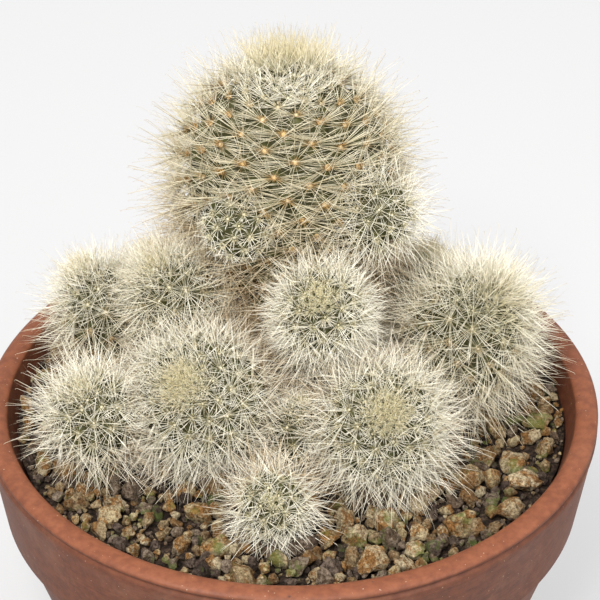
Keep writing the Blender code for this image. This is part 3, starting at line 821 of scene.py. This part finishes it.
def woolMaterial():
    felt, tree, shader = newMaterial("areoleWool", 0.95)
    fluff = noiseOf(tree, objectPlace(tree), 2500, 2)
    worn = levelOf(tree, attributeOf(tree, "age"), 0.5, 1.0)
    colour = mixOf(tree, attributeOf(tree, "amber"), wool["pale"], wool["amber"])
    colour = mixOf(tree, worn, colour, wool["old"])
    colour = mixOf(tree, attributeOf(tree, "young"), colour, wool["young"])
    colour = mixOf(tree, mathOf(tree, "MULTIPLY", fluff, 0.35), colour, wool["fluff"])
    paintWith(tree, shader, colour)
    addBump(tree, shader, fluff, 0.6, 0.15 * mm)
    return felt


def amberOf(areoles, rng):
    spread = rng.uniform(*wool["amberSpread"], len(areoles["spot"]))
    return np.clip(areoles["amber"] * spread, 0, 1)


def spinesOfKind(kind, stem, areoles, rng):
    # the root, way, length, bend, areole and model of each spine of one kind
    model, number, low, high, longer = spine["kinds"][kind]
    felt, lies = kind == "felt", kind in ("radials", "between")
    young, age, grown = areoles["young"], areoles["age"], areoles["grown"]
    out, count, coat = areoles["out"], len(areoles["out"]), stem.coat
    lean, youngLean = spine["lean"]
    lifted = unit(out + np.array(stem.axis) * (youngLean * young + lean)[:, None])
    side = unit(np.cross(areoles["up"], lifted))
    upwards = np.cross(lifted, side)

    # round the areole, or to both sides where they are combed
    each = number if felt else round(number * coat["dense"])
    spread = rng.uniform(-spine["spread"], spine["spread"], (count, each))
    turn = ((np.arange(each)[None] + spread) / each + rng.uniform(0, 1, (count, 1))) * fullTurn
    across = np.where(turn % fullTurn < math.pi, 0.5, 1.5) * math.pi
    across = across + rng.normal(0, spine["combSpread"], turn.shape)
    combed = (rng.uniform(size=turn.shape) < coat["comb"] * (1 - young[:, None])) & lies
    turn = np.where(combed, across, turn)
    low = low + spine["flatter"] * coat["flat"] * lies
    splay = np.radians(rng.uniform(low, high, (count, each)))
    if not felt:
        closed = np.maximum(spine["bunched"] * young, coat["closing"] * areoles["closed"])
        splay *= 1 - closed[:, None]
    flat = upwards[:, None] * np.cos(turn)[..., None] + side[:, None] * np.sin(turn)[..., None]
    way = lifted[:, None] * np.cos(splay)[..., None] + flat * np.sin(splay)[..., None]

    # old ones stray and droop, and none dips under the skin
    droop = np.array([0, 0, -spine["droop"] * stem.rooted]) * age[:, None]
    loose = (spine["loose"] + spine["oldLoose"] * age)[:, None, None]
    stray = rng.normal(0, 1, way.shape) * loose
    way = unit(way + (droop[:, None] + stray) * (not felt))
    over = (way * out[:, None]).sum(-1, keepdims=True)
    way = unit(way + out[:, None] * np.maximum(spine["lowest"] - over, 0))

    long = coat["spine"] * mm * longer * (grown * (1 + spine["oldLonger"] * age))[:, None]
    long = long + (spine["felt"] * (1 + young))[:, None] * felt
    long = long * rng.uniform(*spine["even"], (count, each))
    aside = (np.cos(turn) * np.sin(splay) * combed * spine["combBend"])[..., None]
    bend = -upwards[:, None] * aside * long[..., None]
    rise = spine["feltRise"] * felt - spine["sunk"]
    root = (areoles["spot"] + out * rise)[:, None] + flat * spine["foot"]

    fewer = spine["youngFewer"]
    share = (1 - fewer + fewer * grown) * (1 - spine["oldFewer"] * age)
    if felt:
        share = spine["feltShare"] + (1 - spine["feltShare"]) * young
    key = np.repeat(np.arange(count), each)
    kept = rng.uniform(size=len(key)) < share[key]
    rows = [row.reshape(len(key), -1)[kept] for row in (root, way, long, bend)]
    return rows + [key[kept], np.full(kept.sum(), list(spineModels).index(model))]


def treeOf(shape, spots):
    # a tree of the faces near a head's areoles
    points, corners, sizes = shape
    low, high = spots.min(0) - spine["reach"], spots.max(0) + spine["reach"]
    starts = startsOf(sizes)
    first = points[corners[starts]]
    near = ((first > low) & (first < high)).all(1)
    faces = [corners[s:s + n].tolist() for s, n in zip(starts[near], sizes[near])]
    return BVHTree.FromPolygons(points.tolist(), faces)


def passNeighbours(roots, ways, lengths, bends, some, neighbours):
    # spines slide past the neighbouring bodies, or stop short of them
    for i in some:
        hit = neighbours.ray_cast(Vector(roots[i]), Vector(ways[i]), lengths[i])
        if hit[0] is None:
            continue
        normal = np.array(hit[1])
        ways[i] = unit(ways[i] - normal * (ways[i] @ normal) * spine["slide"])
        hit = neighbours.ray_cast(Vector(roots[i]), Vector(ways[i]), lengths[i])
        if hit[0] is not None:
            lengths[i] = max(hit[3] * spine["stop"], spine["shortest"] * lengths[i])
            bends[i] = 0


def keptInside(roots, ways, lengths, rng):
    # spines bend up over the grit and the rim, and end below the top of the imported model
    tips = roots + ways * lengths[:, None]
    away = np.hypot(tips[:, 0], tips[:, 1])
    lowest = np.where(away > spine["rimFrom"], spine["overRim"], soilLevel + spine["overGrit"])
    lowest = lowest + rng.uniform(0, spine["uneven"], len(tips))
    sunk = tips[:, 2] < lowest
    tips[sunk, 2] = lowest[sunk]
    ways = unit(tips - roots)
    under = rng.uniform(spine["underTop"], spine["uneven"], len(roots))
    over = np.maximum(roots[:, 2] + ways[:, 2] * lengths - (cadBox[1][2] - under), 0)
    return ways, lengths - over / np.maximum(ways[:, 2], 0.3)


def spinesOf(stem, areoles, neighbours, rng):
    # every areole's spines: flat radials, slanting ones between, a few centrals, and felt
    coat, colours = stem.coat, spineColours
    amber = amberOf(areoles, rng)
    made = [spinesOfKind(kind, stem, areoles, rng) for kind in spine["kinds"]]
    roots, ways, lengths, bends, keys, models = (np.concatenate(rows) for rows in zip(*made))
    lengths = lengths.ravel()
    young, hairs = areoles["young"][keys], models == list(spineModels).index("hair")
    passNeighbours(roots, ways, lengths, bends, np.flatnonzero(~hairs), neighbours)
    ways, lengths = keptInside(roots, ways, lengths, rng)

    acrossX = unit(np.cross(ways, ways[:, [1, 2, 0]] + 0.1))
    acrossY = np.cross(ways, acrossX)
    thick = spine["width"] * coat["thick"] * rng.uniform(*spine["widths"], len(roots))
    wavy = unit(rng.normal(size=(len(roots), 3))) * spine["bend"]
    bends = bends + wavy * (lengths * rng.uniform(0, 1, len(roots)))[:, None]

    spread = colours["toneSpread"] + (colours["youngToneSpread"] - colours["toneSpread"]) * young
    tone = np.clip(rng.normal(colours["tone"], spread), 0, 1)
    tone -= colours["feltDarker"] * hairs * (1 - young)
    cream = coat["cream"] * rng.uniform(*colours["creamSpread"], len(keys))
    shown = {"tone": tone, "age": areoles["worn"][keys], "young": np.maximum(young, cream),
             "amber": amber[keys]}
    parts, rows = [], []
    for number, (model, shape) in enumerate(spineModels.items()):
        some = models == number
        wide = thick[some, None]
        parts.append(copiesOf(shape, roots[some], acrossX[some] * wide, acrossY[some] * wide,
                              ways[some] * lengths[some, None], bends[some]))
        row = {label: np.repeat(values[some], len(shape[0])) for label, values in shown.items()}
        reach = colours["hairTip"] if model == "hair" else 1
        rows.append(row | {"along": np.tile(shape[0][:, 2] * reach, some.sum())})
    return joined(parts), {label: np.concatenate([row[label] for row in rows])
                           for label in rows[0]}


def padsOf(stem, areoles, rng):
    # cushions of felt, smallest in the tuft
    count, young, amber = len(areoles["spot"]), areoles["young"], amberOf(areoles, rng)
    side = unit(np.cross(areoles["up"], areoles["out"]))
    size = areoles["space"] * (wool["size"] + wool["amberSize"] * amber) * (1 - young)
    size = size + wool["least"] - wool["youngSmaller"] * young
    wide = (size * rng.uniform(*wool["widths"], count))[:, None]
    tall = (size * rng.uniform(*wool["heights"], count))[:, None]
    ways = side * wide, areoles["up"] * wide, areoles["out"] * tall
    shape = copiesOf(pad, areoles["spot"], *ways)
    shown = {"age": areoles["worn"], "young": young, "amber": amber}
    return shape, {label: np.repeat(values, len(pad[0])) for label, values in shown.items()}


def clearOfShoots(main, stems):
    # the main head's areoles, without those where a shoot grows out
    clear = np.ones(len(main["spot"]), bool)
    for name in shoots:
        stem = stems[name]
        apart = np.linalg.norm(main["spot"] - np.array(stem.centre - stem.axis * 2 * mm), axis=1)
        clear &= apart > stem.radius + mm
    return {label: values[clear] for label, values in main.items()}


def dressHead(name, members, stems, areoles, skins, materials, rng):
    shape = joined([skins[member][0] for member in members])
    mound = np.concatenate([skins[member][1] for member in members])
    heights = (shape[0][:, 2] - soilLevel) / plant["cork"]
    shown = {"mound": mound, "cork": 1 - np.clip(heights, 0, 1)}
    body = meshPiece(name + "_body", *shape, shown)
    finishPiece(body, materials["body"], name)

    made = {"spines": [], "wool": []}
    for member in members:
        others = joined([skins[other][0] for other in skins if other != member])
        tree = treeOf(others, areoles[member]["spot"])
        made["spines"].append(spinesOf(stems[member], areoles[member], tree, rng))
        made["wool"].append(padsOf(stems[member], areoles[member], rng))
    for label, grown in made.items():
        shapes, shown = zip(*grown)
        values = {key: np.concatenate([one[key] for one in shown]) for key in shown[0]}
        piece = meshPiece(name + "_" + label, *joined(shapes), values)
        finishPiece(piece, materials[label], name)
        triangles = sum(len(face.vertices) - 2 for face in piece.data.polygons)
        print(piece.name, triangles, "triangles")


def makePlant():
    stems = {name: Stem(name) for name in (*heads, *shoots)}
    areoles = {name: areolesOf(stem) for name, stem in stems.items()}
    areoles["head_main"] = clearOfShoots(areoles["head_main"], stems)
    skins = {name: skinOf(stem, areoles[name]) for name, stem in stems.items()}
    print("bodies shaped")
    materials = {"body": skinMaterial(), "spines": spineMaterial(), "wool": woolMaterial()}
    for seed, name in enumerate(heads):
        members = [name, *shoots] if name == "head_main" else [name]
        rng = np.random.default_rng(100 + seed)
        dressHead(name, members, stems, areoles, skins, materials, rng)
    print("plant made,", sum(len(found["spot"]) for found in areoles.values()), "areoles")


spineModels = {
    "straight": modelSpine([spine["cut"]]),
    "hooked": modelSpine([spine["cut"], *spine["hookCuts"]], hooked=True),
    "hair": modelSpine([]),
}
pad = modelPad()
makePlant()


# Compost and grit

ground = {
    "sunk": 1 * mm,  # how far it lies under the soil's level
    "gap": 0.25 * mm,  # to the pan
    "footRound": 2.5 * mm,
    "topSteps": 60, "steps": 200,
    "lump": 0.9 * mm, "lumpSize": 3.5 * mm, "crumb": 0.5 * mm, "crumbSize": 1.1 * mm,
    "colours": ((0.36, 0.006, 0.005, 0.004), (0.5, 0.03, 0.02, 0.015),
                (0.6, 0.075, 0.05, 0.034), (0.7, 0.17, 0.13, 0.08)),
}
grit = {
    # of each size of stone: how many are tried, the smallest and largest radius in mm, how finely
    # it is modelled, and the share of dark ones
    "sizes": ((420, 2.2, 3.7, 3, 0.3), (2800, 1.2, 2.1, 2, 0.4), (7000, 0.5, 1.1, 1, 0.6)),
    "shapes": 8,
    "flats": 7, "flatDepth": (0.5, 0.78),
    "proportions": ((0.9, 0.7, 0.65), (1.25, 1.0, 0.85)), "bulk": 1.12,
    "rough": (1.8, 0.35), "pitted": (5, 0.2),  # how often, and how deep
    "seat": 0.5,  # height of its middle over the compost, in radii
    "unevenSeat": (-0.3 * mm, 0.6 * mm),
    "compost": 0.4 * mm,  # how far that lies under the soil's level
    "heap": 1.6 * mm,  # how much higher it lies against the pan
    "heapFrom": (0.7, 0.95),  # of the way out
    "fromPan": 0.85, "fromStem": 0.7, "overlap": 0.72,  # room to each, in radii
    "facet": 40,  # degrees, above which an edge of a stone stays crisp
}
# crust and heart, from the palest stone to the darkest, and how much the grain dims them
stoneColours = {
    "crust": ((0.0, 0.42, 0.33, 0.18), (0.2, 0.55, 0.46, 0.3), (0.4, 0.36, 0.27, 0.15),
              (0.55, 0.3, 0.22, 0.125), (0.6, 0.27, 0.21, 0.15), (0.8, 0.2, 0.15, 0.115),
              (1.0, 0.08, 0.055, 0.045)),
    "heart": ((0.0, 0.3, 0.15, 0.05), (0.25, 0.27, 0.14, 0.05), (0.5, 0.2, 0.11, 0.045),
              (0.6, 0.13, 0.088, 0.055), (0.8, 0.085, 0.06, 0.044), (1.0, 0.04, 0.028, 0.022)),
    "grain": ((0.34, 0.12, 0.09, 0.08), (0.45, 0.55, 0.51, 0.47), (0.55, 0.95, 0.95, 0.96),
              (0.66, 1.48, 1.48, 1.42)),
    "algae": (0.12, 0.16, 0.035),
}


def heapAt(away, reach):
    return grit["heap"] * smooth(away / reach, *grit["heapFrom"])


def compostMaterial():
    compost, tree, shader = newMaterial("darkCompost", 0.95, 0.1)
    crumbs = noiseOf(tree, objectPlace(tree), 700, 6, 0.75)
    paintWith(tree, shader, rampOf(tree, crumbs, ground["colours"]))
    addBump(tree, shader, crumbs, 1.0, 0.8 * mm)
    return compost


def makeCompost():
    top, bottom = soilLevel - ground["sunk"], pan["floor"] + ground["gap"]
    edge = wallRadius(soilLevel) - ground["gap"]
    foot = (wallRadius(bottom) - ground["footRound"], bottom)
    outline = [(0.0, bottom)] + between((0, bottom), foot, 6) + [foot]
    outline += between(foot, (edge, top), 8) + [(edge, top)]
    outline += between((edge, top), (0, top), ground["topSteps"]) + [(0.0, top)]
    piece = spunShape("compost", outline, ground["steps"])
    for vert in piece.data.vertices:
        if vert.co.z > top - 0.5 * mm:
            lump = noise.noise(vert.co / ground["lumpSize"])
            crumb = noise.noise(vert.co / ground["crumbSize"])
            vert.co.z += ground["lump"] * lump + ground["crumb"] * crumb
            vert.co.z += float(heapAt(math.hypot(vert.co.x, vert.co.y), edge))
    finishPiece(piece, compostMaterial(), "soil")
    print("compost made")


def modelStone(seed, fineness):
    # a broken porous chip: a ball pressed flat on some sides, then roughened and pitted
    bpy.ops.mesh.primitive_ico_sphere_add(subdivisions=fineness, radius=1)
    stone = bpy.context.object
    rng = np.random.default_rng(seed)
    flats = unit(rng.normal(size=(grit["flats"], 3)))
    reach = rng.uniform(*grit["flatDepth"], grit["flats"])
    size = rng.uniform(*grit["proportions"])
    shift = Vector((seed * 7.3, seed * 3.1, 0))  # so that no two are alike
    for vert in stone.data.vertices:
        point = np.array(vert.co)
        for way, stop in zip(flats, reach):
            point -= way * max(0, point @ way - stop)
        swell = grit["bulk"]
        for often, deep in (grit["rough"], grit["pitted"]):
            swell += deep * noise.noise(Vector(point * often) + shift)
        vert.co = Vector(point * size * swell)
    return shapeOf(stone)


def stoneMaterial():
    stone, tree, shader = newMaterial("grittyStone", 0.95, 0.15)
    place, kind = objectPlace(tree), attributeOf(tree, "kind")
    patch = levelOf(tree, noiseOf(tree, place, 300, 5, 0.75), 0.45, 0.56)
    colour = mixOf(tree, patch, rampOf(tree, kind, stoneColours["crust"]),
                   rampOf(tree, kind, stoneColours["heart"]))
    grain = noiseOf(tree, place, 1300, 5, 0.8)
    colour = mixOf(tree, 1.0, colour, rampOf(tree, grain, stoneColours["grain"]), "MULTIPLY")
    # green algae on some of the stones
    algae = levelOf(tree, noiseOf(tree, place, 110, 4, 0.7), 0.54, 0.64)
    colour = mixOf(tree, mathOf(tree, "MULTIPLY", algae, 0.6), colour, stoneColours["algae"])
    paintWith(tree, shader, colour)
    addBump(tree, shader, grain, 1.0, 0.9 * mm)
    return stone


def layStones(laid, collars, tries, small, large, reach, rng):
    # tries random places, and keeps those that are clear of the stems and of other stones
    for _ in range(tries):
        size = rng.uniform(small, large) * mm
        away = (reach - grit["fromPan"] * size) * math.sqrt(rng.uniform())
        way = rng.uniform(0, fullTurn)
        x, y = away * math.cos(way), away * math.sin(way)
        if any(math.hypot(x - a, y - b) < c + grit["fromStem"] * size for a, b, c in collars):
            continue
        if all(math.hypot(x - a, y - b) > grit["overlap"] * (size + c) for a, b, c in laid):
            laid.append((x, y, size))


def makeGrit():
    rng = np.random.default_rng(5)
    collars = []
    for stem in map(Stem, heads):
        point, _ = stem.axisAt(stem.soil)
        collars.append((point.x, point.y, stem.radius * (1 - stem.waist) + 0.4 * mm))
    reach = wallRadius(soilLevel)
    laid, parts, labels = [], [], []
    for tries, small, large, fineness, darker in grit["sizes"]:
        start = len(laid)
        layStones(laid, collars, tries, small, large, reach, rng)
        mine = np.array(laid[start:])
        count, sizes = len(mine), mine[:, 2:3]
        turns = np.linalg.qr(rng.normal(size=(count, 3, 3)))[0]
        turns[:, 0] *= np.linalg.det(turns)[:, None]
        lift = sizes[:, 0] * grit["seat"] + rng.uniform(*grit["unevenSeat"], count)
        lift += heapAt(np.hypot(mine[:, 0], mine[:, 1]), reach)
        places = np.column_stack([mine[:, :2], soilLevel - grit["compost"] + lift])
        dark = rng.uniform(size=count) < darker
        kinds = np.where(dark, rng.uniform(0.6, 1, count), rng.uniform(0, 0.55, count))
        for i in range(grit["shapes"]):
            shape = modelStone(i + 20 * fineness, fineness)
            some = np.arange(count) % grit["shapes"] == i
            ways = turns[some] * sizes[some][..., None]
            parts.append(copiesOf(shape, places[some], ways[:, 0], ways[:, 1], ways[:, 2]))
            labels.append(np.repeat(kinds[some], len(shape[0])))
    piece = meshPiece("grit_stones", *joined(parts), {"kind": np.concatenate(labels)})
    piece.select_set(True)
    bpy.context.view_layer.objects.active = piece
    bpy.ops.object.shade_smooth_by_angle(angle=math.radians(grit["facet"]))
    piece.select_set(False)
    finishPiece(piece, stoneMaterial(), "soil")
    print("grit laid,", len(laid), "stones,", len(piece.data.polygons), "faces")


makeCompost()
makeGrit()
